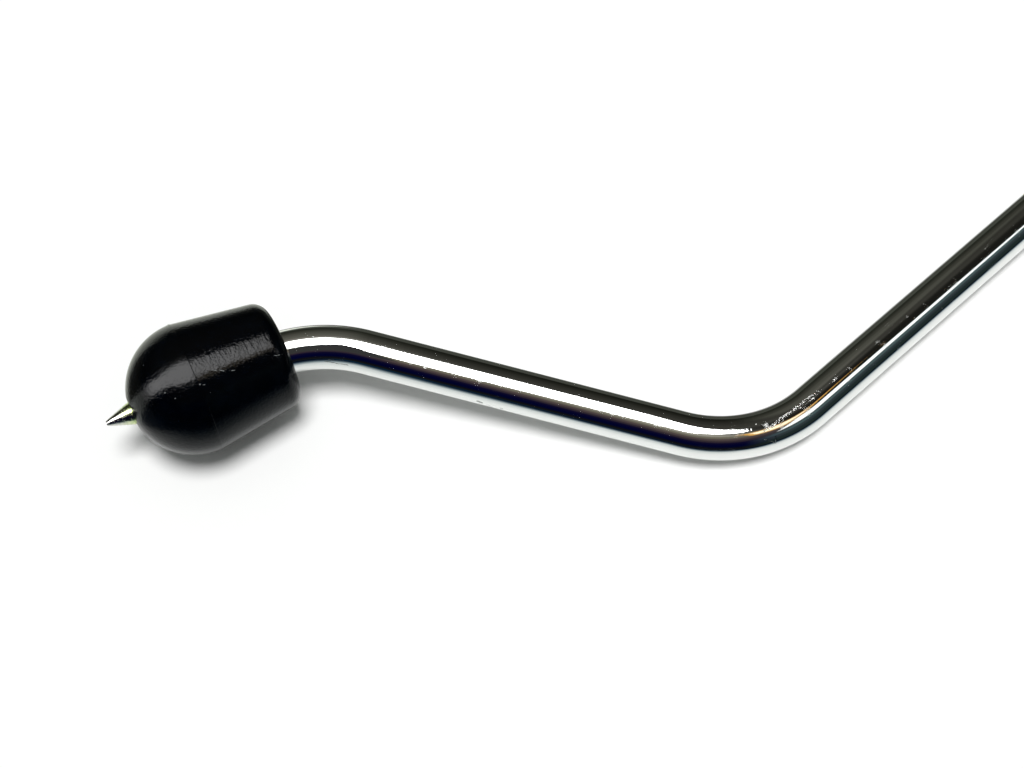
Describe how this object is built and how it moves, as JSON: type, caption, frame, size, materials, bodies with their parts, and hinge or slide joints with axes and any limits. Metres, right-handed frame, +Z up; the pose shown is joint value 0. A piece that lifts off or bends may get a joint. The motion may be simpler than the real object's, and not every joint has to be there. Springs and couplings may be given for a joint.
{
  "type": "floor tom leg with spike foot",
  "caption": "Bent chrome floor tom leg; its bullet-shaped rubber foot screws along a threaded stud to bare or cover a spike.",
  "frame": {"origin": "middle of the leg's box, on the table that the leg lies on", "axes": "+Z up from the table, +X along the long straight run of the bar from the lower bend towards its upper end"},
  "size_m": [0.5106, 0.1166, 0.0315],
  "materials": {
    "chrome_plate": "bright chrome plate on steel, a few fine pits and scratches",
    "zinc_plate": "zinc plate with a faint yellow-green tint, turning marks on the cone",
    "spring_steel": "plain spring steel",
    "brass": "as machined",
    "black_rubber": "satin black moulded rubber with fine rings about its axis"
  },
  "bodies": {
    "leg": {"leg_rod": "chrome_plate", "spike_stud": "zinc_plate"},
    "washer": {"lock_washer": "spring_steel"},
    "foot": {"foot_rubber": "black_rubber", "threaded_bush": "brass"}
  },
  "joints": [
    {"name": "foot_travel", "type": "slide", "parent": "leg", "child": "washer", "axis": [-0.9659, 0.2573, 0.0283], "range_m": [0, 0.0075]},
    {"name": "foot_turn", "type": "hinge", "parent": "washer", "child": "foot", "pos_m": [-0.23442, 0.04267, 0.01576], "axis": [-0.9659, 0.2573, 0.0283], "range_deg": [0, 3600]}
  ],
  "couplings": [
    {"joint": "foot_travel", "follows": "foot_turn", "m_per_rad": 0.00011937}
  ]
}
